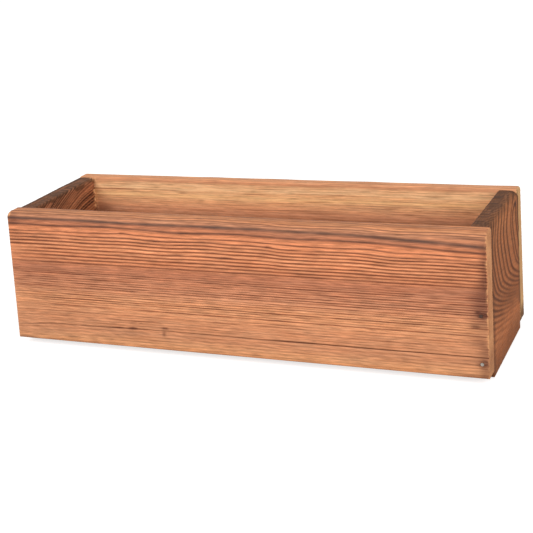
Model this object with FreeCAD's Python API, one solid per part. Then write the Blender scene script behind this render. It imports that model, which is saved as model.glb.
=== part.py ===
"""Window box planter: a long wooden trough nailed up from five planed boards.

Frame: origin on the ground under the middle of the box, +X to the right along the length,
the long front board faces -Y, +Z is up. All sizes are in millimetres.
"""
import FreeCAD, Part
import math
import os

# Driving dimensions
LENGTH = 440.0            # front and back boards, along X
DEPTH = 150.0             # outside of the front board to outside of the back board
BOARD_WIDTH = 122.0       # height of the front and back boards
THICKNESS = 18.0          # planed thickness of the four wall boards
FLOOR_THICKNESS = 18.0
END_DROP = 6.0            # the end boards reach this far below the front and back boards
END_SINK = 1.0            # their tops lie this far below the rim
FLOOR_LIFT = 3.0          # underside of the floor above the lower edge of the front board

RIM_ROUND = 8.0           # sanded round-over along the outer top edge of the front and back
END_ROUND = 7.5           # the same on the two end boards
TOP_CORNER = 3.0          # upper corners of the front and back boards, seen from the front
LOWER_CORNER = 1.5        # lower corners of the same boards
FOOT_CORNER = 2.5         # lower corners of the two end boards, seen from the side
INNER_EASE = 2.5          # inner top edges of all four walls
LOWER_EASE = 2.5          # outer lower edges of the front and back boards
UPRIGHT_EASE = 1.2        # outer upright edges of the front and back boards
FOOT_EASE = 1.0           # inner lower edges, and both lower edges of the end boards

DRAIN_DIAMETER = 12.0
DRAIN_COUNT = 3
DRAIN_SPACING = 130.0

NAIL_LENGTH = 40.0
NAIL_DIAMETER = 1.8
NAIL_HEAD_DIAMETER = 2.8
NAIL_HEAD_DEPTH = 1.2
NAIL_POINT = 3.0          # length of the pointed tip
NAIL_SET = 0.3            # heads are punched this far below the surface
NAIL_INSET = 6.0          # corner nails from the ends of the front and back boards
NAIL_HEIGHTS = (13.0, 53.5, 94.0)     # corner nails above the lower edge of those boards
FLOOR_NAIL_COUNT = 3                  # through the back board into the floor, along X
FLOOR_NAIL_SPACING = 150.0
END_NAIL_COUNT = 2                    # through each end board into the floor, along Y
END_NAIL_SPACING = 40.0

# Places that follow from them
HALF_LENGTH = LENGTH / 2
HALF_DEPTH = DEPTH / 2
INNER_HALF_LENGTH = HALF_LENGTH - THICKNESS
INNER_HALF_DEPTH = HALF_DEPTH - THICKNESS
LOWER_EDGE = END_DROP
RIM = LOWER_EDGE + BOARD_WIDTH
END_TOP = RIM - END_SINK
FLOOR_UNDERSIDE = LOWER_EDGE + FLOOR_LIFT
FLOOR_NAIL_HEIGHT = FLOOR_UNDERSIDE + FLOOR_THICKNESS / 2
CORNER_NAIL_X = HALF_LENGTH - NAIL_INSET


def rounded_outline(low, high, radii, to_space):
    """Rectangular face with rounded corners. The radii run round from the low corner; 0 is sharp."""
    corners = [(low[0], low[1]), (high[0], low[1]), (high[0], high[1]), (low[0], high[1])]
    edges = []
    previous_end = None
    first_start = None
    for index, (corner, radius) in enumerate(zip(corners, radii)):
        before = corners[index - 1]
        after = corners[(index + 1) % 4]
        start = step_towards(corner, before, radius)
        end = step_towards(corner, after, radius)
        if previous_end is None:
            first_start = start
        else:
            edges.append(Part.makeLine(to_space(*previous_end), to_space(*start)))
        if radius > 0:
            edges.append(corner_arc(corner, start, end, radius, to_space))
        previous_end = end
    edges.append(Part.makeLine(to_space(*previous_end), to_space(*first_start)))
    return Part.Face(Part.Wire(edges))


def step_towards(point, target, distance):
    """The point that lies the given distance from point towards target."""
    length = math.dist(point, target)
    return tuple(p + (t - p) * distance / length for p, t in zip(point, target))


def corner_arc(corner, start, end, radius, to_space):
    """Quarter circle that rounds a square corner from start to end."""
    centre = (start[0] + end[0] - corner[0], start[1] + end[1] - corner[1])
    middle = step_towards(centre, corner, radius)
    return Part.Arc(to_space(*start), to_space(*middle), to_space(*end)).toShape()


def eased_board(low, high, front_radii, side_radii, plan_radii):
    """Board between two opposite corners, eased as seen from the front, the side and above.

    The front outline's radii start at low X, low Z, the side's at low Y, low Z,
    and the plan's at low X, low Y. Each set runs round the outline.
    """
    size = [b - a for a, b in zip(low, high)]
    front = rounded_outline((low[0], low[2]), (high[0], high[2]), front_radii,
                            lambda u, v: FreeCAD.Vector(u, low[1], v))
    side = rounded_outline((low[1], low[2]), (high[1], high[2]), side_radii,
                           lambda u, v: FreeCAD.Vector(low[0], u, v))
    plan = rounded_outline((low[0], low[1]), (high[0], high[1]), plan_radii,
                           lambda u, v: FreeCAD.Vector(u, v, low[2]))
    board = front.extrude(FreeCAD.Vector(0, size[1], 0))
    board = board.common(side.extrude(FreeCAD.Vector(size[0], 0, 0)))
    return board.common(plan.extrude(FreeCAD.Vector(0, 0, size[2])))


def front_board():
    """Long board at the front; it runs over the edges of the end boards."""
    low = (-HALF_LENGTH, -HALF_DEPTH, LOWER_EDGE)
    high = (HALF_LENGTH, -INNER_HALF_DEPTH, RIM)
    return eased_board(low, high,
                       (LOWER_CORNER, LOWER_CORNER, TOP_CORNER, TOP_CORNER),
                       (LOWER_EASE, FOOT_EASE, INNER_EASE, RIM_ROUND),
                       (UPRIGHT_EASE, UPRIGHT_EASE, 0, 0))


def back_board():
    """Long board at the back, the same size as the front board."""
    low = (-HALF_LENGTH, INNER_HALF_DEPTH, LOWER_EDGE)
    high = (HALF_LENGTH, HALF_DEPTH, RIM)
    return eased_board(low, high,
                       (LOWER_CORNER, LOWER_CORNER, TOP_CORNER, TOP_CORNER),
                       (FOOT_EASE, LOWER_EASE, RIM_ROUND, INNER_EASE),
                       (0, 0, UPRIGHT_EASE, UPRIGHT_EASE))


def end_board(side):
    """Short board between the long ones; side is +1 at the right end and -1 at the left."""
    outer = side * HALF_LENGTH
    inner = side * INNER_HALF_LENGTH
    low = (min(outer, inner), -INNER_HALF_DEPTH, 0)
    high = (max(outer, inner), INNER_HALF_DEPTH, END_TOP)
    top_radii = (END_ROUND, INNER_EASE) if side > 0 else (INNER_EASE, END_ROUND)
    front_radii = (FOOT_EASE, FOOT_EASE, *top_radii)
    side_radii = (FOOT_CORNER, FOOT_CORNER, 0, 0)
    return eased_board(low, high, front_radii, side_radii, (0, 0, 0, 0))


def floor_board():
    """Floor let in between the four walls, with a row of drain holes along its middle."""
    low = (-INNER_HALF_LENGTH, -INNER_HALF_DEPTH, FLOOR_UNDERSIDE)
    board = Part.makeBox(2 * INNER_HALF_LENGTH, 2 * INNER_HALF_DEPTH, FLOOR_THICKNESS,
                         FreeCAD.Vector(*low))
    for x in spread(DRAIN_COUNT, DRAIN_SPACING):
        hole = Part.makeCylinder(DRAIN_DIAMETER / 2, FLOOR_THICKNESS,
                                 FreeCAD.Vector(x, 0, FLOOR_UNDERSIDE))
        board = board.cut(hole)
    return board


def spread(count, spacing):
    """Places of evenly spaced items about the middle."""
    return [(index - (count - 1) / 2) * spacing for index in range(count)]


def nail(surface_point, direction):
    """Nail driven in from a point on a board's face: head, round shank and pointed tip."""
    head_top = surface_point + direction * NAIL_SET
    shank_top = head_top + direction * NAIL_HEAD_DEPTH
    tip_start = head_top + direction * (NAIL_LENGTH - NAIL_POINT)
    shank_length = NAIL_LENGTH - NAIL_POINT - NAIL_HEAD_DEPTH
    head = Part.makeCylinder(NAIL_HEAD_DIAMETER / 2, NAIL_HEAD_DEPTH, head_top, direction)
    shank = Part.makeCylinder(NAIL_DIAMETER / 2, shank_length, shank_top, direction)
    tip = Part.makeCone(NAIL_DIAMETER / 2, 0, NAIL_POINT, tip_start, direction)
    return head.fuse([shank, tip]).removeSplitter()


def nail_mouth(surface_point, direction):
    """The short hole that the punched head leaves in the surface."""
    return Part.makeCylinder(NAIL_HEAD_DIAMETER / 2, NAIL_SET, surface_point, direction)


def nail_rows():
    """Where each group of nails goes in: name of the group, driving direction, surface points."""
    rows = {}
    for wall, y in (("front", -HALF_DEPTH), ("back", HALF_DEPTH)):
        direction = FreeCAD.Vector(0, -math.copysign(1, y), 0)
        for end, side in (("left", -1), ("right", 1)):
            points = [FreeCAD.Vector(side * CORNER_NAIL_X, y, LOWER_EDGE + height)
                      for height in NAIL_HEIGHTS]
            rows[f"nails_{wall}_{end}"] = (direction, points)
    for end, side in (("left", -1), ("right", 1)):
        points = [FreeCAD.Vector(side * HALF_LENGTH, y, FLOOR_NAIL_HEIGHT)
                  for y in spread(END_NAIL_COUNT, END_NAIL_SPACING)]
        rows[f"nails_floor_{end}"] = (FreeCAD.Vector(-side, 0, 0), points)
    points = [FreeCAD.Vector(x, HALF_DEPTH, FLOOR_NAIL_HEIGHT)
              for x in spread(FLOOR_NAIL_COUNT, FLOOR_NAIL_SPACING)]
    rows["nails_floor_back"] = (FreeCAD.Vector(0, -1, 0), points)
    return rows


def build():
    """All sub-parts by name, with the nail holes cut in the boards."""
    boards = {
        "front_board": front_board(),
        "back_board": back_board(),
        "left_end_board": end_board(-1),
        "right_end_board": end_board(1),
        "floor_board": floor_board(),
    }
    parts = {}
    holes = []
    for name, (direction, points) in nail_rows().items():
        nails = [nail(point, direction) for point in points]
        parts[name] = Part.makeCompound(nails)
        holes += nails
        holes += [nail_mouth(point, direction) for point in points]
    for name, board in boards.items():
        in_board = [hole for hole in holes if hole.BoundBox.intersect(board.BoundBox)]
        parts[name] = board.cut(in_board)
    return parts


os.makedirs("parts", exist_ok=True)
for node, shape in build().items():
    if not shape.isValid():
        raise ValueError(f"{node} is not a valid solid")
    shape.exportStep(f"parts/{node}.step")
    print(node, len(shape.Solids), "solids", round(shape.Volume / 1000, 2), "cm3")
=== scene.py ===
import bpy
import math
import numpy as np
from mathutils import Matrix, Vector


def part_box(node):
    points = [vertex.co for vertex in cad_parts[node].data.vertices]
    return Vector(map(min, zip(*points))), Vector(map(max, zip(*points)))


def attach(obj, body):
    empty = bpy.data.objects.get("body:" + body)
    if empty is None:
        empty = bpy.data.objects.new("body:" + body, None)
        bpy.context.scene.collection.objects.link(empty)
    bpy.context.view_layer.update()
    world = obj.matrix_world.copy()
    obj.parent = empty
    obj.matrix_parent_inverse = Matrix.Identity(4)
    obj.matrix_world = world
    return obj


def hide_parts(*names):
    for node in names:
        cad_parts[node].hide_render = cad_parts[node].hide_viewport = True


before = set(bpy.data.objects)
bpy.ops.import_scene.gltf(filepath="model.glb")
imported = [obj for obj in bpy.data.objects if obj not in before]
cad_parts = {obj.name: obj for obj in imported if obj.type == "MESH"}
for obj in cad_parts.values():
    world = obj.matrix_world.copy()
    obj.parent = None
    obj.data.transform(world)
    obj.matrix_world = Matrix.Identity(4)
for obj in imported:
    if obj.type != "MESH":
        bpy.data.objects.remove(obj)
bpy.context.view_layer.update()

# ---------------------------------------------------------------------------------------------------
# Front board: one softwood plank, singed and wire-brushed until its hard growth lines stand proud, then
# stained orange-brown. It runs over the ends of the two end boards and is nailed to them. Its rim is
# sanded round, and its left end is sawn slightly out of square.

MM = 0.001
NAIL_HEAD_RADIUS = 1.4    # mm, as are the depths and reaches that follow
NAIL_HOLE_DEPTH = 0.9
HOLE_REACH = 1.5          # from a nail's middle to just past its hole
FILLING_REACH = 2.6       # the same for the filler that hides a nail
FILLING_DEPTH = 0.12
FINE_REACH = 2.0          # to either side of a nail, where the mesh is finer
BOARD_CORE = 9.0          # eased edges are drawn in towards a core that lies this deep

# Radii that the boards' edges and corners are rounded to.
RIM_ROUND = 8.0           # outer top edge
INNER_EASE = 2.5          # inner top edge
LOWER_EASE = 2.5          # outer lower edge
FOOT_EASE = 1.0           # inner lower edge, and both lower edges of the end boards
UPRIGHT_EASE = 1.2        # outer upright edges
HIDDEN_EASE = 0.5         # inner upright edges
TOP_CORNER = 3.0          # upper corners, seen from the front
LOWER_CORNER = 1.5        # lower corners, seen from the front


def corners_in_mm(node):
    """A CAD node's lowest and highest corners in mm."""
    return [np.array(corner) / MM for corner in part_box(node)]


def nail_heads(group, row_axis, count):
    """Middles of a row's evenly spaced nail heads in mm."""
    low, high = corners_in_mm(group)
    heads = np.tile((low + high) / 2, (count, 1))
    heads[:, row_axis] = np.linspace(low[row_axis] + NAIL_HEAD_RADIUS, high[row_axis] - NAIL_HEAD_RADIUS,
                                     count)
    return heads


def stations(start, end, step, nail_places):
    """Places from start to end in mm, closest together near the two ends and round the nails."""
    near = [0.0]
    gap = 0.4
    while gap < step:
        near.append(near[-1] + gap)
        gap *= 1.4
    count = max(2, round((end - start - 2 * near[-1]) / step) + 1)
    places = np.concatenate([start + np.array(near[:-1]),
                             np.linspace(start + near[-1], end - near[-1], count),
                             end - np.array(near[:-1])])
    for nail_place in np.unique(np.round(nail_places, 2)):
        if start + FINE_REACH < nail_place < end - FINE_REACH:
            apart = np.abs(places - nail_place) > FINE_REACH + 0.2
            fine = nail_place + np.linspace(-FINE_REACH, FINE_REACH, 11)
            places = np.concatenate([places[apart], fine])
    return np.sort(places)


def gridded_skin(xs, ys, zs):
    """Points and quads of a box's skin, gridded at the given stations, with its normals outwards."""
    sides = [tuple(end if a == axis else slice(None) for a in range(3))
             for axis in range(3) for end in (0, -1)]
    on_skin = np.zeros((len(xs), len(ys), len(zs)), bool)
    for side in sides:
        on_skin[side] = True
    index = np.full(on_skin.shape, -1)
    index[on_skin] = np.arange(on_skin.sum())
    points = np.stack(np.meshgrid(xs, ys, zs, indexing="ij"), -1)[on_skin]
    quads = []
    for number, side in enumerate(sides):
        grid = index[side]
        quad = np.stack([grid[:-1, :-1], grid[1:, :-1], grid[1:, 1:], grid[:-1, 1:]], -1).reshape(-1, 4)
        at_low_end = number % 2 == 0
        on_y_side = number // 2 == 1
        quads.append(quad[:, ::-1] if at_low_end != on_y_side else quad)
    return points, np.concatenate(quads)


def inside_eased(points, low, high, rounding):
    """Which points lie inside a board whose outlines have rounded corners. rounding maps a pair of axes
    to four radii, which run round from the low corner."""
    inside = np.ones(len(points), bool)
    for (a, b), radii in rounding.items():
        for radius, side_a, side_b in zip(radii, (-1, 1, 1, -1), (-1, -1, 1, 1)):
            out_a = (points[:, a] - (high[a] if side_a > 0 else low[a])) * side_a + radius
            out_b = (points[:, b] - (high[b] if side_b > 0 else low[b])) * side_b + radius
            inside &= ~((out_a > 0) & (out_b > 0) & (out_a ** 2 + out_b ** 2 > radius ** 2))
    return inside


def ease_edges(points, low, high, rounding):
    """Draws a sharp box's points in towards the board's core until they lie on its eased shape."""
    depth = np.minimum((high - low) / 2, BOARD_CORE)
    outside = ~inside_eased(points, low, high, rounding)
    start = points[outside]
    pull = np.clip(start, low + depth, high - depth) - start
    near, far = np.zeros((2, len(start), 1))
    far += 1
    for _ in range(16):
        middle = (near + far) / 2
        inside = inside_eased(start + pull * middle, low, high, rounding)[:, None]
        far = np.where(inside, middle, far)
        near = np.where(inside, near, middle)
    eased = points.copy()
    eased[outside] = start + pull * far
    return eased


def board_skin(node, steps, rounding, grain_axis, nails):
    """An eased board's points and quads in mm, and how near each point is to an arris of its sawn ends,
    from 0 to 1."""
    low, high = corners_in_mm(node)
    nails = np.array(nails).reshape(-1, 3)
    places = [stations(low[a], high[a], steps[a], nails[:, a]) for a in range(3)]
    points, quads = gridded_skin(*places)
    to_faces = np.minimum(points - low, high - points)
    to_end = to_faces[:, grain_axis]
    to_long_face = np.delete(to_faces, grain_axis, axis=1).min(axis=1)
    arris = np.exp(-(to_end / 1.3) ** 2 - (to_long_face / 1.6) ** 2)
    return ease_edges(points, low, high, rounding), quads, arris


def smooth_curve(along, knots):
    """A smooth curve through given pairs of place and value."""
    places, values = np.array(knots, float).T
    slopes = np.gradient(values, places)
    index = np.clip(np.searchsorted(places, along) - 1, 0, len(places) - 2)
    span = places[index + 1] - places[index]
    t = np.clip((along - places[index]) / span, 0, 1)
    return (values[index] * (1 + 2 * t) * (1 - t) ** 2 + slopes[index] * span * t * (1 - t) ** 2
            + values[index + 1] * t * t * (3 - 2 * t) - slopes[index + 1] * span * t * t * (1 - t))


def wander(along, period, size, rng):
    """A smooth random curve along a board, with bends about a period long."""
    places = np.arange(-100, 600, period)
    return smooth_curve(along, np.stack([places, rng.uniform(-size, size, len(places))], 1))


def line_band(top, bottom, pitch, half_width, darkness, rng, spread=0.15):
    """Growth lines from top down to bottom, unevenly spaced about a pitch: height, half width, darkness."""
    lines = []
    height = top
    while height > bottom:
        lines.append((height, half_width * rng.uniform(1 - spread, 1 + spread),
                      darkness * rng.uniform(1 - 2 * spread, 1 + 2 * spread)))
        height -= pitch * rng.uniform(1 - spread, 1 + spread)
    return lines


def line_shade(along, above, half_width, darkness, rng, unevenness=0.28):
    """A dark line's shade at points that lie above its middle. It thins and fades here and there."""
    strength = darkness * (1 + unevenness * (wander(along, 28, 1.0, rng) + wander(along, 9, 0.7, rng)))
    return strength * np.exp(-((above - wander(along, 45, 0.16, rng)) / half_width) ** 2)


def line_shades(along, across, lines, rng, unevenness=0.28):
    """How dark a set of growth lines makes each point, where 1 is fully dark."""
    late = np.zeros(len(along))
    for place, half_width, darkness in lines:
        late = np.maximum(late, line_shade(along, across - place, half_width, darkness, rng, unevenness))
    return late


def marks(along, across, spots):
    """Stains, knots, scorches and painted shade: along, across, half length, half height, strength of each.
    """
    stain_and_shade = np.zeros(len(along))
    for place, height, half_length, half_height, strength in spots:
        distance = ((along - place) / half_length) ** 2 + ((across - height) / half_height) ** 2
        stain_and_shade += strength * np.exp(-distance ** 1.5)
    return stain_and_shade


def near_nails(points, heads, face_axis, face_place, reach):
    """Which points of one face lie within reach of a nail's middle."""
    beside = [axis for axis in range(3) if axis != face_axis]
    near = np.zeros(len(points), bool)
    for head in heads:
        near |= np.hypot(*(points[:, beside] - head[beside]).T) < reach
    return near & (np.abs(points[:, face_axis] - face_place) < 1.5)


def sink_nails(relief, points, face_axis, face_place, open_nails, filled_nails):
    """Lowers one face's surface into its open nail holes, and levels it where filler hides a nail."""
    relief[near_nails(points, filled_nails, face_axis, face_place, FILLING_REACH)] = FILLING_DEPTH
    relief[near_nails(points, open_nails, face_axis, face_place, HOLE_REACH)] = NAIL_HOLE_DEPTH


def roughen_sawn_ends(relief, along, length, rng):
    """Sawn ends are brushed less than the faces, but the saw leaves them rough."""
    sawn = np.minimum(along, length - along) < 0.5
    relief[sawn] = 0.4 * relief[sawn] + rng.uniform(0, 0.2, sawn.sum())


def make_board(name, points, quads, relief, surface):
    """A board's object in metres. relief is how far each point is brushed in, in mm, and surface holds
    the values that its material reads at each point."""
    mesh = bpy.data.meshes.new(name)
    mesh.from_pydata((points * MM).tolist(), [], quads.tolist())
    normals = np.empty(len(points) * 3)
    mesh.vertex_normals.foreach_get("vector", normals)
    points = points - normals.reshape(-1, 3) * relief[:, None]
    mesh.vertices.foreach_set("co", (points * MM).ravel())
    for value, values in surface.items():
        attribute = mesh.attributes.new(value, "FLOAT", "POINT")
        attribute.data.foreach_set("value", values.astype(np.float32))
    mesh.set_sharp_from_angle(angle=math.radians(50))
    mesh.update()
    board = bpy.data.objects.new(name, mesh)
    bpy.context.scene.collection.objects.link(board)
    return board


def painted(red, green, blue):
    """A colour given as it looks on a screen, 0 to 255, as the linear colour that a shader takes."""
    parts = [channel / 255 for channel in (red, green, blue)]
    return (*[c / 12.92 if c <= 0.04045 else ((c + 0.055) / 1.055) ** 2.4 for c in parts], 1.0)


def new_material(name):
    """A new material, its node tree and its shader."""
    material = bpy.data.materials.new(name)
    material.use_nodes = True
    return material, material.node_tree, material.node_tree.nodes["Principled BSDF"]


def add(tree, kind, inputs=(), **options):
    """Adds a node, sets its options, then sets or links its inputs."""
    node = tree.nodes.new(kind)
    for option, value in options.items():
        setattr(node, option, value)
    for socket, value in dict(inputs).items():
        if isinstance(value, bpy.types.NodeSocket):
            tree.links.new(value, node.inputs[socket])
        else:
            node.inputs[socket].default_value = value
    return node


def ramp(tree, share, stops):
    """A colour ramp read at share. Its stops are pairs of place and colour."""
    node = add(tree, "ShaderNodeValToRGB", {"Fac": share})
    elements = node.color_ramp.elements
    while len(elements) < len(stops):
        elements.new(0.5)
    for element, (place, colour) in zip(elements, stops):
        element.position = place
        element.color = colour
    return node.outputs["Color"]


def spread_value(tree, value, low, high, out_low, out_high):
    """Maps a value from one range to another."""
    return add(tree, "ShaderNodeMapRange", {"Value": value, "From Min": low, "From Max": high,
                                            "To Min": out_low, "To Max": out_high}).outputs["Result"]


def times(tree, first, second):
    """The product of two values."""
    return add(tree, "ShaderNodeMath", {0: first, 1: second}, operation="MULTIPLY").outputs[0]


def scaled_colour(tree, colour, amount):
    """A colour made lighter or darker by a value."""
    return add(tree, "ShaderNodeVectorMath", {0: colour, "Scale": amount}, operation="SCALE").outputs[0]


def tinted(tree, colour, tint):
    """A colour multiplied by a tint."""
    return add(tree, "ShaderNodeVectorMath", {0: colour, 1: tint}, operation="MULTIPLY").outputs[0]


def mixed(tree, share, first, second):
    """The mix of two colours."""
    return add(tree, "ShaderNodeMix", {0: share, 6: first, 7: second}, data_type="RGBA").outputs[2]


def emboss(tree, shader, height, strength, distance):
    """Fine relief in a material's shading. distance is its height in metres."""
    relief = add(tree, "ShaderNodeBump", {"Strength": strength, "Distance": distance, "Height": height})
    tree.links.new(relief.outputs["Normal"], shader.inputs["Normal"])


def point_value(tree, name):
    """A value that the board's mesh holds at each point."""
    return add(tree, "ShaderNodeAttribute", attribute_name=name).outputs["Fac"]


def make_group(name, given, put):
    """An empty shader node group with its inputs and outputs, and the nodes that hold them."""
    tree = bpy.data.node_groups.new(name, "ShaderNodeTree")
    for socket, kind in given.items():
        tree.interface.new_socket(socket, in_out="INPUT", socket_type=kind)
    for socket, kind in put.items():
        tree.interface.new_socket(socket, in_out="OUTPUT", socket_type=kind)
    return tree, tree.nodes.new("NodeGroupInput").outputs, tree.nodes.new("NodeGroupOutput").inputs


def fibres_group():
    """Brushed wood's fibres: long thin streaks, short dashes, a warm or cool tint, soft blotches, and the
    height of the fuzz."""
    tree, given, put = make_group(
        "wood fibres", {"Stretch": "NodeSocketVector"},
        {"Streaks": "NodeSocketFloat", "Dashes": "NodeSocketFloat", "Tint": "NodeSocketColor",
         "Blotches": "NodeSocketFloat", "Height": "NodeSocketFloat"})
    place = add(tree, "ShaderNodeTexCoord").outputs["Object"]
    drawn = add(tree, "ShaderNodeVectorMath", {0: place, 1: given["Stretch"]}, operation="MULTIPLY")
    streaks = add(tree, "ShaderNodeTexNoise", {"Vector": drawn.outputs[0], "Scale": 1.0, "Detail": 4.0,
                                               "Roughness": 0.65})
    fuzz = add(tree, "ShaderNodeTexNoise", {"Vector": drawn.outputs[0], "Scale": 2.6, "Detail": 2.0,
                                            "Roughness": 0.7})
    coarse = add(tree, "ShaderNodeVectorMath", {0: drawn.outputs[0], 1: (1.5, 1.5, 1.5)},
                 operation="MULTIPLY")
    dashes = add(tree, "ShaderNodeTexNoise", {"Vector": coarse.outputs[0], "Scale": 1.0, "Detail": 1.5,
                                              "Roughness": 0.6})
    hues = add(tree, "ShaderNodeTexNoise", {"Vector": coarse.outputs[0], "Scale": 0.3, "Detail": 2.0})
    blotches = add(tree, "ShaderNodeTexNoise", {"Vector": place, "Scale": 28.0, "Detail": 3.0})
    tint = mixed(tree, spread_value(tree, hues.outputs["Fac"], 0.3, 0.7, 0.0, 1.0),
                 (1.03, 0.98, 0.94, 1.0), (0.98, 1.02, 1.05, 1.0))
    height = add(tree, "ShaderNodeMath", {0: streaks.outputs["Fac"], 1: fuzz.outputs["Fac"]},
                 operation="ADD")
    tree.links.new(streaks.outputs["Fac"], put["Streaks"])
    tree.links.new(dashes.outputs["Fac"], put["Dashes"])
    tree.links.new(tint, put["Tint"])
    tree.links.new(blotches.outputs["Fac"], put["Blotches"])
    tree.links.new(height.outputs[0], put["Height"])
    return tree


def wear_and_highlight_group():
    """Worn arrises and a painted highlight along them: a mask that is strong along the edges and broken up
    into chips and rubs.
    """
    tree, given, put = make_group(
        "edge wear and highlight", {"Arris": "NodeSocketFloat", "Chip Scale": "NodeSocketFloat"},
        {"Wear And Highlight": "NodeSocketFloat"})
    place = add(tree, "ShaderNodeTexCoord").outputs["Object"]
    chips = add(tree, "ShaderNodeTexNoise", {"Vector": place, "Scale": given["Chip Scale"], "Detail": 3.0,
                                             "Roughness": 0.65})
    broken = spread_value(tree, chips.outputs["Fac"], 0.46, 0.62, 0.0, 1.0)
    tree.links.new(times(tree, broken, given["Arris"]), put["Wear And Highlight"])
    return tree


FIBRES = fibres_group()
EDGE_WEAR_AND_HIGHLIGHT = wear_and_highlight_group()


def brushed_wood(name, stretch, early_stops, late_stops, stain_and_shade_colour, worn_and_highlight_colour, streak_depth,
                 dash_depth, roughness):
    """Stained wood with dark growth lines. early_stops and late_stops give the colours of the soft and
    the hard wood from one edge of the board to the other."""
    material, tree, shader = new_material(name)
    fibres = add(tree, "ShaderNodeGroup", {"Stretch": stretch}, node_tree=FIBRES)
    streaks, blotches = fibres.outputs["Streaks"], fibres.outputs["Blotches"]
    across = point_value(tree, "across")
    wood = mixed(tree, point_value(tree, "latewood"), ramp(tree, across, early_stops),
                 ramp(tree, across, late_stops))
    shade = times(tree, spread_value(tree, streaks, 0.25, 0.75, 1 - streak_depth, 1 + streak_depth),
                  spread_value(tree, blotches, 0.3, 0.7, 0.93, 1.07))
    dashed = spread_value(tree, fibres.outputs["Dashes"], 0.28, 0.72, 1 - dash_depth, 1 + dash_depth)
    shaded = tinted(tree, scaled_colour(tree, wood, times(tree, shade, dashed)), fibres.outputs["Tint"])
    # The dark colour comes in with real stains and scorching, and with painted shade beside the end boards'
    # joints and in the back board's inner left corner.
    stain_and_shade = times(tree, point_value(tree, "stain_and_shade"), spread_value(tree, streaks, 0.35, 0.65, 0.7, 1.25))
    stained_and_shaded = mixed(tree, stain_and_shade, shaded, stain_and_shade_colour)
    # Pale along the arrises: worn chips, and a painted highlight where a face meets a sawn end.
    wear_and_highlight = add(tree, "ShaderNodeGroup", {"Arris": point_value(tree, "arris"), "Chip Scale": 240.0},
               node_tree=EDGE_WEAR_AND_HIGHLIGHT)
    tree.links.new(mixed(tree, wear_and_highlight.outputs["Wear And Highlight"], stained_and_shaded, worn_and_highlight_colour), shader.inputs["Base Color"])
    tree.links.new(spread_value(tree, streaks, 0.2, 0.8, roughness - 0.08, roughness + 0.1),
                   shader.inputs["Roughness"])
    shader.inputs["Specular IOR Level"].default_value = 0.2
    emboss(tree, shader, fibres.outputs["Height"], 0.5, 0.0004)
    return material


# Growth lines that are traced one by one: half width, darkness, then places in mm from the left end and
# above the lower edge.
TRACED_LINES = (
    (1.9, 0.95, ((0, 117.0), (60, 117), (120, 116.3), (220, 116.2), (290, 115.7), (340, 115.2), (360, 114),
                 (395, 112.2), (420, 110.8), (440, 109.5))),
    (0.9, 0.65, ((0, 121), (300, 118.6), (345, 117.4), (382, 117.3), (410, 117), (440, 115.3))),
    (1.25, 0.84, ((0, 111.4), (30, 111.3), (45, 111.0), (110, 111.8), (140, 111), (165, 109.8),
                  (230, 110.8), (280, 109.4), (310, 109.8), (350, 109.3), (380, 107.9), (410, 106.2),
                  (440, 105))),
    (0.6, 0.85, ((0, 105.2), (50, 105.6), (75, 105.6), (110, 106.2), (119, 106.8), (135, 105.8),
                 (165, 105), (240, 105), (280, 103.6), (320, 103.4), (345, 103.9), (365, 102.1),
                 (385, 102.2), (440, 101))),
    (0.75, 0.92, ((0, 102.3), (60, 102.4), (85, 101.9), (125, 102.3), (155, 101.1), (205, 102.3),
                  (220, 101.7), (257, 101), (268, 99.8), (290, 99.6), (340, 99.8), (363, 98.2),
                  (400, 98.7), (440, 98.2))),
    (0.55, 0.5, ((0, 35.0), (110, 35.9), (200, 36.4), (440, 36.8))),
    (0.5, 0.5, ((0, 52.4), (150, 53.6), (440, 53.8))),
    (0.5, 0.42, ((0, 69.0), (150, 70), (300, 70), (440, 70.6))),
)
RIM_BEND = TRACED_LINES[4][2]      # the ridges below follow this line, less and less on the way down
RIM_BEND_HEIGHT = 101.0
RIDGE_FOOT = 76.0

# The crack low down in the board, and where it gapes: place, 0, half length, 1, added strength.
CRACK = ((0, 13.8), (17, 15.4), (30, 16.8), (75, 17.6), (110, 18.4), (215, 18.5), (340, 18.6), (440, 18.7))
CRACK_GAPES = ((115, 0, 15, 1, 0.4), (276, 0, 24, 1, 0.5), (325, 0, 24, 1, 0.4), (395, 0, 50, 1, 0.3))
CRACK_BEND_TOP = 40.0              # the growth lines below this height follow the crack


def front_bend(along, height):
    """How far a growth line lies above its own height, in mm."""
    share = np.clip((height - RIDGE_FOOT) / (RIM_BEND_HEIGHT - RIDGE_FOOT), 0, 1)
    low_share = np.clip(1 - height / CRACK_BEND_TOP, 0, 1)
    return (share * (smooth_curve(along, RIM_BEND) - RIM_BEND_HEIGHT)
            + low_share * (smooth_curve(along, CRACK) - CRACK[-1][1]))


front_rng = np.random.default_rng(11)
front_bands = (
    line_band(114.6, 107.5, 1.9, 0.45, 0.4, front_rng)
    + line_band(98.2, RIDGE_FOOT, 3.08, 0.78, 1.0, front_rng, 0.05)
    + line_band(74.6, 69.0, 2.3, 0.6, 0.45, front_rng)
    + line_band(68.0, 53.0, 2.2, 0.5, 0.9, front_rng)
    + line_band(51.0, 34.5, 2.1, 0.45, 0.85, front_rng)
    + line_band(33.0, 20.5, 2.3, 0.5, 0.45, front_rng)
    + line_band(15.5, 1.0, 2.9, 0.55, 0.4, front_rng)
    + line_band(136.0, 119.0, 2.2, 0.6, 1.0, front_rng))

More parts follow.
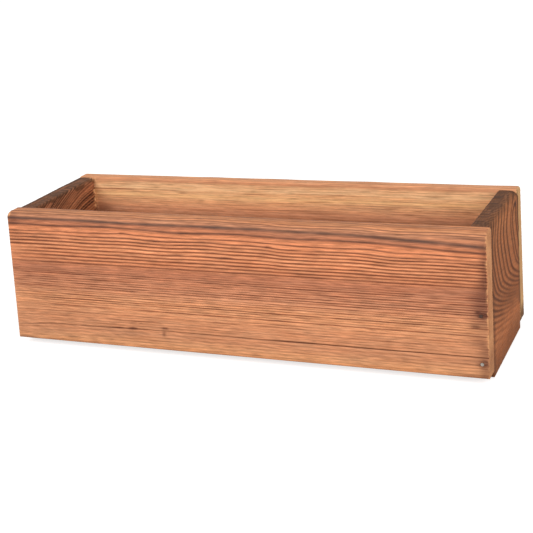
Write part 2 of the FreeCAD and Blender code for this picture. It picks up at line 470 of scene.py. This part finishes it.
# Scorched, knotty and nail-stained places: mm from the left end, mm above the lower edge, half length,
# half height, strength.
FRONT_MARKS = (
    (6, 115, 6, 5, 0.4), (18, 72, 80, 62, 0.075), (8, 2, 10, 1.6, 0.5), (355, 114.3, 16, 1.6, 0.35),
    (428, 116.5, 14, 1.0, 0.6), (120, 106.9, 2.2, 1.3, 0.5), (173, 90.2, 7, 1.0, 0.65),
    (218, 89.6, 8, 0.9, 0.75), (257, 101.2, 3.0, 1.3, 0.5), (108, 18.5, 4, 1.2, 0.6),
    (122, 18.9, 4.5, 1.4, 0.8), (276, 18.8, 18, 0.9, 0.6), (154, 21.2, 3.6, 1.2, 0.75),
    (153, 16.0, 1.7, 2.4, 0.6), (123, 24.0, 1.8, 1.0, 0.35), (131, 24.0, 1.8, 1.0, 0.35),
    (141, 27.0, 5.0, 0.9, 0.25), (104, 11.6, 2.0, 1.0, 0.25), (126, 53.6, 3.5, 1.0, 0.4),
    (345, 35.0, 2.0, 1.2, 0.4), (358, 24.0, 4.0, 2.0, 0.2), (292, 21.2, 1.6, 1.0, 0.35),
    (413, 30.2, 1.6, 1.0, 0.3), (437, 61, 12, 22, 0.66), (441, 95, 7, 22, 0.66),
    (429, 44.5, 4, 2.0, 0.45), (431, 32.0, 7, 5.0, 0.42), (434, 14.0, 4.5, 3.6, 0.55),
    (428, 2.0, 14, 2.2, 0.5), (435.5, 53.8, 3.4, 2.2, 0.95), (431.5, 56.0, 2.0, 1.2, 0.8),
    (437, 14.6, 1.6, 1.4, 0.8), (438, 8, 6, 8, 0.5), (439, 24, 7, 9, 0.5),
)
FRONT_ROUNDING = {            # seen from the front, from the side and from above
    (0, 2): (LOWER_CORNER, LOWER_CORNER, TOP_CORNER, TOP_CORNER),
    (1, 2): (LOWER_EASE, FOOT_EASE, INNER_EASE, RIM_ROUND),
    (0, 1): (UPRIGHT_EASE, UPRIGHT_EASE, HIDDEN_EASE, HIDDEN_EASE),
}
FRONT_STEPS = (2.8, 1.4, 0.45)    # mm between the mesh's points along X, Y and Z
FRONT_SLANT = 0.45                # how steeply the growth layers rise into the board
FRONT_RELIEF = 0.34               # mm that the soft wood is brushed away
CRACK_DEPTH = 0.6
FRONT_LAYERS_HEIGHT = 136.0       # mm of the growth layers that the colours run over
OUT_OF_SQUARE = 3.2               # mm that the left end is short at the rim
OUT_OF_SQUARE_REACH = 60.0        # mm of the board's length that this draws in
END_GRAIN = 0.6                   # mm; a sawn end's points lie within this of it

front_low, front_high = corners_in_mm("front_board")
front_nails = np.concatenate([nail_heads("nails_front_left", 2, 3), nail_heads("nails_front_right", 2, 3)])
open_front_nails = front_nails[3:5]        # the two lower ones at the right end show
front_length = front_high[0] - front_low[0]
front_width = front_high[2] - front_low[2]
front_points, front_quads, front_arris = board_skin("front_board", FRONT_STEPS, FRONT_ROUNDING, 0,
                                                    open_front_nails)
front_along = front_points[:, 0] - front_low[0]
front_depth = front_points[:, 1] - front_low[1]
front_height = front_points[:, 2] - front_low[2]
front_across = front_height + FRONT_SLANT * front_depth

front_late = np.zeros(len(front_points))
for half_width, darkness, line in TRACED_LINES:
    above = front_across - smooth_curve(front_along, line)
    shade = line_shade(front_along, above, half_width, darkness, front_rng, 0.15)
    front_late = np.maximum(front_late, shade)
for height, half_width, darkness in front_bands:
    above = front_across - height - front_bend(front_along, height)
    above = above / (1 + 0.3 * np.clip(1 - front_along / 100, 0, 1))
    fade = 1 - 0.6 * (height < 90) * np.clip(1 - front_along / 42, 0, 1)
    unevenness = 0.12 if height > RIDGE_FOOT else 0.4
    shade = fade * line_shade(front_along, above, half_width, darkness, front_rng, unevenness)
    front_late = np.maximum(front_late, shade)
crack_strength = 0.85 * np.clip(front_along / 25, 0.3, 1) + marks(front_along, 0, CRACK_GAPES)
above_crack = front_across - smooth_curve(front_along, CRACK)
front_crack = crack_strength * line_shade(front_along, above_crack, 0.5, 1.0, front_rng, 0.15)
front_late = np.clip(np.maximum(front_late, front_crack), 0, 1)

on_front = front_depth < 6
front_stain = np.clip(marks(front_along, front_across, FRONT_MARKS) * on_front, 0, 0.85)
right_end_grain = front_along > front_length - END_GRAIN
scraped = 0.3 * np.exp(-(front_height / 24) ** 4) + front_rng.uniform(-0.15, 0.3, len(front_points))
front_stain[right_end_grain] = np.clip(scraped, 0, 0.7)[right_end_grain]

front_relief = FRONT_RELIEF * (1 - front_late) + CRACK_DEPTH * np.clip(front_crack, 0, 1)
sink_nails(front_relief, front_points, 1, front_low[1], open_front_nails, front_nails)
roughen_sawn_ends(front_relief, front_along, front_length, front_rng)
left_share = np.clip(1 - front_along / OUT_OF_SQUARE_REACH, 0, 1)
front_points[:, 0] += OUT_OF_SQUARE * left_share * np.clip(front_height / front_width, 0, 1)
front_board = make_board("front_board_brushed", front_points, front_quads, front_relief, {
    "across": (front_across - front_bend(front_along, front_across)) / FRONT_LAYERS_HEIGHT,
    "latewood": front_late,
    "stain_and_shade": front_stain,
    # pale along the sawn ends' arrises: a painted highlight, broken up into chips
    "arris": front_arris,
})


def zone_stops(width, *zones):
    """Ramp stops from heights in mm and their colours."""
    return [(height / width, painted(*colour)) for height, colour in zones]


front_wood = brushed_wood(
    "front_wood", (55.0, 600.0, 800.0),
    zone_stops(FRONT_LAYERS_HEIGHT, (0, (216, 147, 98)), (6, (218, 155, 110)), (14, (206, 142, 103)),
               (28, (217, 149, 107)), (44, (230, 160, 114)), (54, (214, 145, 107)), (64, (212, 141, 104)),
               (73, (192, 123, 90)), (79, (228, 148, 104)), (93, (246, 163, 115)), (104, (230, 146, 101)),
               (109, (222, 139, 96)), (113, (198, 126, 91)), (119, (206, 141, 103)),
               (124, (216, 146, 101)), (136, (214, 141, 92))),
    zone_stops(FRONT_LAYERS_HEIGHT, (0, (150, 92, 60)), (17, (74, 38, 22)), (20, (104, 58, 34)),
               (34, (128, 72, 46)), (76, (116, 64, 42)), (90, (126, 68, 42)), (104, (100, 58, 42)),
               (115, (97, 70, 59)), (122, (150, 100, 74)), (136, (150, 98, 70))),
    painted(80, 42, 32), painted(226, 164, 112), streak_depth=0.26, dash_depth=0.25, roughness=0.68)


def sawn_end_wood(name, heart, light, dark, grime_and_shade):
    """Sawn end grain: pale and dry, with the growth rings as faint arcs about a distant heart. It darkens
    where the board's stain value says so: grime on the front board's end, painted shade on the back board's
    end."""
    material, tree, shader = new_material(name)
    place = add(tree, "ShaderNodeTexCoord").outputs["Object"]
    from_heart = add(tree, "ShaderNodeVectorMath", {0: place, 1: heart}, operation="DISTANCE")
    rings = add(tree, "ShaderNodeTexNoise", {"W": from_heart.outputs["Value"], "Scale": 620.0,
                                             "Detail": 1.0}, noise_dimensions="1D")
    pores = add(tree, "ShaderNodeTexNoise", {"Vector": place, "Scale": 900.0, "Detail": 2.0})
    smears = add(tree, "ShaderNodeTexNoise", {"Vector": place, "Scale": 60.0, "Detail": 2.0})
    blend = add(tree, "ShaderNodeMath", {0: rings.outputs["Fac"], 1: pores.outputs["Fac"],
                                         2: smears.outputs["Fac"]}, operation="MULTIPLY_ADD")
    share = spread_value(tree, blend.outputs[0], 0.5, 1.0, 0.0, 1.0)
    grimy_and_shaded = mixed(tree, point_value(tree, "stain_and_shade"), mixed(tree, share, dark, light), grime_and_shade)
    tree.links.new(grimy_and_shaded, shader.inputs["Base Color"])
    tree.links.new(spread_value(tree, pores.outputs["Fac"], 0.2, 0.8, 0.7, 0.9), shader.inputs["Roughness"])
    shader.inputs["Specular IOR Level"].default_value = 0.25
    emboss(tree, shader, pores.outputs["Fac"], 0.4, 0.0003)
    return material


def dress(board, materials, node):
    """Gives a board its materials, the second on its sawn ends, and sets it in its CAD node's place."""
    for material in materials:
        board.data.materials.append(material)
    if len(materials) > 1:
        facing = np.empty(len(board.data.polygons) * 3)
        board.data.polygons.foreach_get("normal", facing)
        sawn = np.abs(facing.reshape(-1, 3)[:, 0]) > 0.75
        board.data.polygons.foreach_set("material_index", sawn.astype(np.int32))
    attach(board, "root")
    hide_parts(node)


front_end_grain = sawn_end_wood("front_end_grain", (0.22, 0.06, 0.03), painted(229, 164, 112),
                                painted(190, 125, 82), painted(120, 84, 62))
dress(front_board, [front_wood, front_end_grain], "front_board")

# ---------------------------------------------------------------------------------------------------
# Back board: a second plank of the same size, cut from a paler, plainer stem and only lightly singed and
# brushed. Its outer face was nearer to the stem's heart, so the growth lines make long arches there. It is
# nailed to the end boards and to the floor.

BACK_LEFT_CORNER = 2.2     # upper left corner, which is less worn
BACK_ROUNDING = {
    (0, 2): (LOWER_CORNER, LOWER_CORNER, TOP_CORNER, BACK_LEFT_CORNER),
    (1, 2): (FOOT_EASE, LOWER_EASE, RIM_ROUND, INNER_EASE),
    (0, 1): (HIDDEN_EASE, HIDDEN_EASE, UPRIGHT_EASE, UPRIGHT_EASE),
}
BACK_STEPS = (2.4, 1.5, 0.8)       # these four say what the front board's do
BACK_SLANT = 0.3
BACK_RELIEF = 0.2
BACK_LAYERS_HEIGHT = 128.0
LEFT_CUT = 1.4             # mm that the left end is short at the rim
RIGHT_CUT = 1.3            # the same at the right end
CUT_REACH = 18.0           # mm of the board's length that either cut draws in
LEFT_JOINT = 19.0          # mm from the left end to just past the left end board

back_rng = np.random.default_rng(23)
back_low, back_high = corners_in_mm("back_board")
back_nails = np.concatenate([nail_heads("nails_back_left", 2, 3), nail_heads("nails_back_right", 2, 3),
                             nail_heads("nails_floor_back", 0, 3)])
back_length = back_high[0] - back_low[0]
back_width = back_high[2] - back_low[2]
chipped_joint = [back_low[0] + LEFT_JOINT, back_low[1], back_high[2] - 20]    # finely meshed too
back_points, back_quads, back_arris = board_skin("back_board", BACK_STEPS, BACK_ROUNDING, 0,
                                                 np.vstack([back_nails, chipped_joint]))
back_along = back_points[:, 0] - back_low[0]
back_depth = back_points[:, 1] - back_low[1]
back_height = back_points[:, 2] - back_low[2]
back_across = back_height + BACK_SLANT * back_depth

back_bands = (
    line_band(128.0, 117.5, 1.9, 0.5, 0.6, back_rng) + line_band(117.0, 110.0, 2.2, 0.45, 0.75, back_rng)
    + line_band(109.6, 104.0, 1.9, 0.45, 0.7, back_rng) + line_band(103.0, 93.0, 2.2, 0.6, 0.55, back_rng)
    + line_band(92.0, 60.0, 2.8, 0.8, 0.5, back_rng) + line_band(58.0, 2.0, 3.6, 0.9, 0.4, back_rng))
back_wave = wander(back_along, 90, 1.1, back_rng)
back_late = np.zeros(len(back_points))
for height, half_width, darkness in back_bands:
    above = back_across - height - back_wave * (0.4 + 0.6 * height / back_width)
    dashes = np.clip(0.75 + wander(back_along, 22, 0.7, back_rng), 0, 1)
    shade = dashes * line_shade(back_along, above, half_width, darkness, back_rng)
    back_late = np.maximum(back_late, shade)

# On the outer face the arches are pushed aside by knots: mm from the left end and above the lower edge,
# then the knot's half length and half height.
BACK_HEART_HEIGHT = 66
BACK_KNOTS = ((96, 84, 6.5, 4.5), (236, 36, 8.5, 6.0), (352, 92, 5.0, 3.5))
BACK_KNOT_REACH = 4.2      # how many times a knot's size its push reaches
BACK_KNOT_PUSH = 6.0       # mm that it moves the arches by
above_heart = back_height - BACK_HEART_HEIGHT - 3 * back_wave - wander(back_along, 130, 3.0, back_rng)
from_heart = np.hypot(above_heart, 7 + 0.085 * back_along)
for place, height, half_length, half_height in BACK_KNOTS:
    beside = (((back_along - place) / (BACK_KNOT_REACH * half_length)) ** 2
              + ((back_height - height) / (BACK_KNOT_REACH * half_height)) ** 2)
    from_heart += BACK_KNOT_PUSH * np.sign(height - BACK_HEART_HEIGHT) * np.exp(-beside)
arches = line_shades(back_along, from_heart, line_band(100.0, 6.0, 3.3, 0.75, 0.85, back_rng, 0.22),
                     back_rng)
outer_share = np.clip((back_depth - 9) / 3, 0, 1)
back_late = np.clip(back_late * (1 - outer_share) + arches * outer_share, 0, 1)

# Resin flecks, small knots and darker places inside, and painted shade in the corner beside the left end
# board (the mark at 27, 89): mm from the left end and above the lower edge, half length, half height,
# strength.
BACK_MARKS = (
    (87, 113, 4, 0.8, 0.5), (103, 116, 6, 0.7, 0.45), (115, 108, 5, 0.9, 0.6), (135, 101, 4, 0.8, 0.4),
    (190, 112, 3, 0.8, 0.35), (232, 106, 5, 0.7, 0.35), (325, 100, 7, 0.8, 0.5), (350, 98.5, 4, 0.8, 0.45),
    (365, 112, 8, 0.7, 0.5), (395, 99, 6, 1.1, 0.55), (300, 115, 5, 0.7, 0.35), (27, 89, 12, 5, 0.35),
    (260, 93.5, 30, 0.9, 0.3), (140, 91.5, 26, 0.9, 0.35),
)
inside_back = back_depth < 6
outer_knots = marks(back_along, back_height, [(*knot, 0.85) for knot in BACK_KNOTS]) * (back_depth > 12)
back_stain_and_shade = marks(back_along, back_across, BACK_MARKS) * inside_back + outer_knots
back_stain_and_shade = np.clip(back_stain_and_shade, 0, 0.8)
right_end_grain = back_along > back_length - END_GRAIN
# The right end grain darkens along its inner edge beside the end board and towards its foot: painted shade.
end_grain_shade = 0.85 * np.maximum(np.exp(-(back_depth / 3.2) ** 2), np.exp(-(back_height / 13) ** 4))
back_stain_and_shade[right_end_grain] = end_grain_shade[right_end_grain]
# The sawn ends' arrises carry a painted highlight, and the left joint carries real chips.
chipped = np.exp(-((back_along - LEFT_JOINT) / 0.8) ** 2) * inside_back * (back_across > 80)
back_arris = np.maximum(back_arris, chipped)

back_relief = BACK_RELIEF * (1 - back_late)
sink_nails(back_relief, back_points, 1, back_high[1], back_nails, ())
roughen_sawn_ends(back_relief, back_along, back_length, back_rng)
left_share = np.clip(1 - back_along / CUT_REACH, 0, 1)
right_share = np.clip(1 - (back_length - back_along) / CUT_REACH, 0, 1)
cut = LEFT_CUT * left_share - RIGHT_CUT * right_share
back_points[:, 0] += cut * np.clip(back_across / back_width, 0, 1)
across_inside = back_across / BACK_LAYERS_HEIGHT
across_outside = 0.75 + 0.0005 * from_heart      # a narrow stretch of the same colours
back_board = make_board("back_board_planed", back_points, back_quads, back_relief, {
    "across": across_inside * (1 - outer_share) + across_outside * outer_share,
    "latewood": back_late,
    "stain_and_shade": back_stain_and_shade,
    "arris": back_arris,
})
back_wood = brushed_wood(
    "back_wood", (60.0, 600.0, 800.0),
    zone_stops(BACK_LAYERS_HEIGHT, (0, (206, 146, 104)), (30, (200, 138, 98)), (60, (190, 128, 90)),
               (86, (178, 120, 86)), (91, (210, 146, 108)), (96, (228, 164, 119)), (101, (238, 178, 128)),
               (105, (250, 196, 138)), (109, (250, 192, 138)), (112, (250, 200, 148)),
               (117, (246, 192, 142)), (119, (218, 154, 112)), (128, (224, 158, 114))),
    zone_stops(BACK_LAYERS_HEIGHT, (0, (150, 94, 60)), (60, (140, 84, 54)), (90, (134, 84, 58)),
               (100, (160, 104, 74)), (110, (184, 124, 86)), (117, (170, 112, 76)), (128, (166, 104, 74))),
    painted(124, 76, 50), painted(240, 184, 130), streak_depth=0.18, dash_depth=0.17, roughness=0.7)
back_end_grain = sawn_end_wood("back_end_grain", (0.22, 0.02, 0.02), painted(222, 174, 120),
                               painted(196, 144, 94), painted(96, 60, 36))
dress(back_board, [back_wood, back_end_grain], "back_board")

# ---------------------------------------------------------------------------------------------------
# End boards: two short planks nailed between the long ones, with their grain along the box's depth. They
# are singed much darker, most of all on their sanded tops. Outside, the right one's growth lines bend round
# a lost knot and the left one's make arches. They reach below the long boards and carry the box.

END_STEPS = (1.5, 1.5, 1.0)
END_FOOT_CORNER = 2.5      # mm; lower corners, seen from the side
END_TOP_CORNER = 0.6       # upper ones
END_UPRIGHT_EASE = 0.8     # edges against the long boards
END_RELIEF = 0.4           # mm
END_COLOUR_HEIGHT = 127.0  # mm that the end boards' colours run over
DROOP_FOOT = 60.0          # mm above the foot, where a drooping top begins to sink

# The line that the right board's bent growth lines follow: mm above the foot, then mm from the front edge.
KNOT_BEND = ((-10, 420), (10, 275), (22, 215), (30, 180), (35.5, 152), (41, 130), (46.5, 110), (52, 92),
             (60, 72), (68, 57), (76, 50), (88, 43), (98, 38), (108, 36), (118, 39), (127, 46))
KNOT_PLACE = 58            # the knot's middle beyond that line, and its height
KNOT_HEIGHT = 112
KNOT_SLANT = 4.0           # how far the lines shift for each mm into the board
KNOT_LINES = (51, 43, 25, 12, 0, -12, -23, -33, -42, -52, -63, -76, -90, -108, -128, -150, -178, -210)
ARCH_HEIGHT = 58           # the middle of the left board's arches
INNER_CLIMB = ((0, 0), (60, 29), (85, 38), (114, 43))   # mm that the inner faces' lines rise to the back


def knotty_lines(along, height, depth, rng):
    """Growth lines that bend round a lost knot near the top: how dark each point is. Those short of the
    knot's own bend run up to the top, and those beyond it close into loops round the knot."""
    from_knot = np.abs(along - smooth_curve(height, KNOT_BEND) - KNOT_SLANT * depth - KNOT_PLACE)
    looping = 0.95 * np.clip((50 - from_knot) / 20, 0, 1) * np.maximum(height - KNOT_HEIGHT, 0)
    line_up = KNOT_PLACE - np.hypot(from_knot, looping)
    low_share = np.clip((80 - height) / 45, 0, 1)
    strength = np.clip((height - 12) / 34, 0.12, 1) * (1 - 0.2 * low_share * np.clip(along / 80, 0, 1))
    late = np.zeros(len(along))
    for place in KNOT_LINES:
        shade = line_shade(height + along, line_up - place, 2.2 + 4.0 * low_share ** 1.5,
                           strength * rng.uniform(0.9, 1.1), rng, 0.16)
        late = np.maximum(late, shade)
    return late


def arched_lines(along, height, depth, rng):
    """Growth lines of a plainer plank, in long arches about its middle: how dark each point is."""
    above_heart = height - ARCH_HEIGHT - wander(along, 60, 5.0, rng) - 0.7 * depth
    from_heart = np.hypot(above_heart, 9 + 0.22 * along)
    return line_shades(along, from_heart, line_band(92, 5, 4.4, 1.25, 0.95, rng, 0.2), rng, 0.2)


def end_board(node, outer_is_high, top_round, front_droop, outer_lines, pitch, nails, filled_nails, rng):
    """One end board's object, with both faces' growth lines. Its top may droop to the front by some mm.
    outer_lines shades the outer face, and pitch is the inner face's mm from line to line."""
    low, high = corners_in_mm(node)
    board_depth = high[1] - low[1]
    board_height = high[2] - low[2]
    top_radii = (top_round, INNER_EASE) if outer_is_high else (INNER_EASE, top_round)
    rounding = {
        (0, 2): (FOOT_EASE, FOOT_EASE, *top_radii),
        (1, 2): (END_FOOT_CORNER, END_FOOT_CORNER, END_TOP_CORNER, END_TOP_CORNER),
        (0, 1): (END_UPRIGHT_EASE,) * 4,
    }
    points, quads, _ = board_skin(node, END_STEPS, rounding, 1, nails)
    outer = high[0] if outer_is_high else low[0]
    depth = np.abs(points[:, 0] - outer)
    along = points[:, 1] - low[1]
    height = points[:, 2] - low[2]
    from_back = board_depth - along
    outside = outer_lines(along, height, depth, rng)
    rising = line_shades(along, height - smooth_curve(along, INNER_CLIMB),
                         line_band(126, -60, pitch, 0.3 * pitch, 0.95, rng, 0.22), rng, 0.2)
    inner_share = np.clip((depth - 7) / 4, 0, 1)
    late = np.clip(outside * (1 - inner_share) + rising * inner_share, 0, 1)

    over_round = np.clip(1 - depth / top_round, 0, 1)
    top = np.clip(1 - (board_height - height - 0.3) / (1.6 + 4.4 * over_round), 0, 1)
    # On the outer face, bands beside the front and back boards darken: partly a dark stain, partly painted
    # contact shade in the joints.
    beside_front = np.exp(-(along / 8.5) ** 4)
    beside_back = np.exp(-(from_back / 6) ** 2) * (height > 25)
    joint_stain_and_shade = (0.52 * beside_front + 0.6 * beside_back) * (depth < 8)
    mottled = 0.72 + wander(along, 7, 0.2, rng) + wander(along + 9 * depth, 11, 0.12, rng)
    ragged = 5 + wander(along, 6, 3, rng) + wander(along, 17, 2, rng)
    singed = np.clip((height - board_height + ragged) / 2, 0, 1) * (depth > 8)
    stain_and_shade = np.maximum(mottled * top, 0.75 * singed) + joint_stain_and_shade
    splintered = 1.5 * (depth > 14) * (height > 28) * np.exp(-(from_back / 3.0) ** 2)
    arris = np.maximum(splintered, np.exp(-(height / 1.5) ** 2))

    relief = END_RELIEF * (1 - late) * (1 - 0.5 * top) + 0.25 * top * rng.uniform(0, 1, len(points))
    sink_nails(relief, points, 0, outer, nails, filled_nails)
    up_share = np.clip((height - DROOP_FOOT) / (board_height - DROOP_FOOT), 0, 1)
    points[:, 2] -= front_droop * (1 - along / board_depth) * up_share
    return make_board(f"{node}_singed", points, quads, relief, {
        "across": height / END_COLOUR_HEIGHT,
        "latewood": late,
        "stain_and_shade": np.clip(stain_and_shade, 0, 0.9),
        "arris": arris,
    })


END_STRETCH = (600.0, 70.0, 800.0)
right_end = end_board("right_end_board", outer_is_high=True, top_round=7.5, front_droop=0.0,
                      outer_lines=knotty_lines, pitch=3.6, nails=(),
                      filled_nails=nail_heads("nails_floor_right", 1, 2), rng=np.random.default_rng(5))
right_wood = brushed_wood(
    "right_end_wood", END_STRETCH,
    zone_stops(END_COLOUR_HEIGHT, (0, (142, 86, 53)), (12, (158, 96, 59)), (25, (188, 115, 71)),
               (50, (186, 114, 70)), (80, (172, 105, 64)), (110, (178, 110, 67)), (127, (182, 114, 70))),
    zone_stops(END_COLOUR_HEIGHT, (0, (124, 72, 43)), (30, (112, 64, 37)), (60, (92, 50, 28)),
               (127, (74, 40, 22))),
    painted(82, 52, 32), painted(206, 136, 84), streak_depth=0.2, dash_depth=0.2, roughness=0.74)
dress(right_end, [right_wood], "right_end_board")

left_end = end_board("left_end_board", outer_is_high=False, top_round=3.0, front_droop=1.6,
                     outer_lines=arched_lines, pitch=2.9, nails=nail_heads("nails_floor_left", 1, 2),
                     filled_nails=(), rng=np.random.default_rng(8))
left_wood = brushed_wood(
    "left_end_wood", END_STRETCH,
    zone_stops(END_COLOUR_HEIGHT, (0, (156, 96, 62)), (60, (174, 110, 72)), (100, (184, 118, 79)),
               (127, (196, 128, 90))),
    zone_stops(END_COLOUR_HEIGHT, (0, (98, 56, 32)), (60, (92, 52, 30)), (127, (64, 36, 22))),
    painted(84, 54, 34), painted(250, 196, 138), streak_depth=0.2, dash_depth=0.24, roughness=0.74)
dress(left_end, [left_wood], "left_end_board")

# ---------------------------------------------------------------------------------------------------
# Floor board: a planed board let in between the four walls and nailed through all but the front one, with
# three drilled drain holes. It keeps its CAD shape and is only lightly stained, with darker damp patches.


def planed_floor_wood():
    """Planed softwood with growth lines along the box and darker damp patches."""
    material, tree, shader = new_material("floor_wood")
    fibres = add(tree, "ShaderNodeGroup", {"Stretch": (22.0, 900.0, 900.0)}, node_tree=FIBRES)
    place = add(tree, "ShaderNodeTexCoord").outputs["Object"]
    drawn = add(tree, "ShaderNodeVectorMath", {0: place, 1: (1.2, 150.0, 60.0)}, operation="MULTIPLY")
    lines = add(tree, "ShaderNodeTexNoise", {"Vector": drawn.outputs[0], "Scale": 1.6, "Detail": 2.0})
    growth = ramp(tree, lines.outputs["Fac"], [
        (0.36, painted(150, 98, 64)), (0.44, painted(196, 138, 94)), (0.58, painted(208, 150, 104)),
        (0.63, painted(166, 110, 72)), (0.68, painted(202, 144, 100))])
    shade = times(tree, spread_value(tree, fibres.outputs["Streaks"], 0.25, 0.75, 0.9, 1.1),
                  spread_value(tree, fibres.outputs["Blotches"], 0.3, 0.7, 0.88, 1.08))
    tree.links.new(scaled_colour(tree, growth, shade), shader.inputs["Base Color"])
    tree.links.new(spread_value(tree, fibres.outputs["Streaks"], 0.2, 0.8, 0.6, 0.78),
                   shader.inputs["Roughness"])
    shader.inputs["Specular IOR Level"].default_value = 0.3
    emboss(tree, shader, fibres.outputs["Height"], 0.4, 0.0004)
    return material


def give_material(node, material):
    """Puts a material on a CAD node that stays in view."""
    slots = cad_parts[node].material_slots
    if not slots:
        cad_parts[node].data.materials.append(material)
    for slot in slots:
        slot.material = material


give_material("floor_board", planed_floor_wood())

# ---------------------------------------------------------------------------------------------------
# Nails: plain steel wire nails, punched just below the surface. They keep their CAD shape. Rain and the
# stain have darkened the upper ones, while the lowest head at the front is still bright.


def nail_steel():
    """Wire-drawn steel with brown rust, more of it on the higher nails."""
    material, tree, shader = new_material("nail_steel")
    place = add(tree, "ShaderNodeTexCoord").outputs["Object"]
    height = add(tree, "ShaderNodeSeparateXYZ", {0: place}).outputs["Z"]
    grain = add(tree, "ShaderNodeTexNoise", {"Vector": place, "Scale": 1400.0, "Detail": 2.0})
    aged = spread_value(tree, height, 0.02, 0.045, 0.0, 1.0)
    pitted = spread_value(tree, grain.outputs["Fac"], 0.35, 0.7, 0.0, 0.45)
    rust = add(tree, "ShaderNodeMath", {0: aged, 1: pitted}, operation="ADD", use_clamp=True).outputs[0]
    tree.links.new(mixed(tree, rust, painted(205, 200, 190), painted(74, 50, 40)),
                   shader.inputs["Base Color"])
    tree.links.new(spread_value(tree, rust, 0, 1, 0.9, 0.1), shader.inputs["Metallic"])
    tree.links.new(spread_value(tree, rust, 0, 1, 0.35, 0.75), shader.inputs["Roughness"])
    emboss(tree, shader, grain.outputs["Fac"], 0.3, 0.0002)
    return material


steel = nail_steel()
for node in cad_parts:
    if node.startswith("nails_"):
        give_material(node, steel)

# ---------------------------------------------------------------------------------------------------
# Setting: a plain pale floor, soft studio light, and a camera a little above the box and to its right,
# turned so that the box leans slightly in the picture.

floor_mesh = bpy.data.meshes.new("studio_floor")
floor_mesh.from_pydata([(-6, -6, 0), (6, -6, 0), (6, 6, 0), (-6, 6, 0)], [], [(0, 1, 2, 3)])
studio_floor = bpy.data.objects.new("studio_floor", floor_mesh)
bpy.context.scene.collection.objects.link(studio_floor)
floor_paint, floor_tree, floor_shader = new_material("studio_floor")
floor_shader.inputs["Base Color"].default_value = (0.6, 0.6, 0.6, 1)
floor_shader.inputs["Roughness"].default_value = 0.9
floor_shader.inputs["Specular IOR Level"].default_value = 0.0
FLOOR_LIFT = 0.72          # how much whiter the floor looks to the camera than the light makes it
seen = add(floor_tree, "ShaderNodeLightPath").outputs["Is Camera Ray"]
floor_shader.inputs["Emission Color"].default_value = (1, 1, 1, 1)
floor_tree.links.new(times(floor_tree, seen, FLOOR_LIFT), floor_shader.inputs["Emission Strength"])
floor_mesh.materials.append(floor_paint)

world = bpy.data.worlds.new("studio")
bpy.context.scene.world = world
world.use_nodes = True
sky = world.node_tree
rays = add(sky, "ShaderNodeLightPath").outputs
looked_at = add(sky, "ShaderNodeMath", {0: rays["Is Camera Ray"], 1: rays["Is Glossy Ray"]},
                operation="MAXIMUM").outputs[0]
SKY_LIGHT = 0.48           # how strongly the sky lights the box; seen or mirrored, it is plain white
background = sky.nodes["Background"].inputs
background["Color"].default_value = (1, 1, 1, 1)
sky.links.new(spread_value(sky, looked_at, 0, 1, SKY_LIGHT, 1.0), background["Strength"])


def soft_lamp(name, place, size, watts):
    """A large square studio lamp that faces the box."""
    light = bpy.data.lights.new(name, "AREA")
    light.size = size
    light.energy = watts
    lamp = bpy.data.objects.new(name, light)
    lamp.location = place
    lamp.rotation_euler = (Vector((0, 0, 0.06)) - Vector(place)).to_track_quat("-Z", "Y").to_euler()
    bpy.context.scene.collection.objects.link(lamp)


soft_lamp("key", (-0.9, -1.9, 1.5), 1.2, 31)
soft_lamp("fill", (1.7, -1.1, 1.1), 1.4, 22)

IMAGE_SIDE = 533.0
CAMERA_FOCUS = 1189.5      # in pixels of the image
CAMERA_PLACE = (0.4088, -0.9417, 0.3962)
CAMERA_YAW = math.radians(23.033)
CAMERA_PITCH = math.radians(14.119)
CAMERA_ROLL = math.radians(-4.108)
CAMERA_SHIFT = -0.15
forward = Vector((-math.sin(CAMERA_YAW) * math.cos(CAMERA_PITCH),
                  math.cos(CAMERA_YAW) * math.cos(CAMERA_PITCH), -math.sin(CAMERA_PITCH)))
level_right = Vector((math.cos(CAMERA_YAW), math.sin(CAMERA_YAW), 0))
level_up = level_right.cross(forward)
right = level_right * math.cos(CAMERA_ROLL) + level_up * math.sin(CAMERA_ROLL)
up = level_up * math.cos(CAMERA_ROLL) - level_right * math.sin(CAMERA_ROLL)
camera_data = bpy.data.cameras.new("camera")
camera_data.sensor_width = 36.0
camera_data.lens = CAMERA_FOCUS * camera_data.sensor_width / IMAGE_SIDE
camera_data.shift_y = CAMERA_SHIFT
camera = bpy.data.objects.new("camera", camera_data)
turned = Matrix((right, up, -forward)).transposed().to_4x4()
camera.matrix_world = Matrix.Translation(CAMERA_PLACE) @ turned
bpy.context.scene.collection.objects.link(camera)
bpy.context.scene.camera = camera
bpy.context.scene.view_settings.view_transform = "Standard"
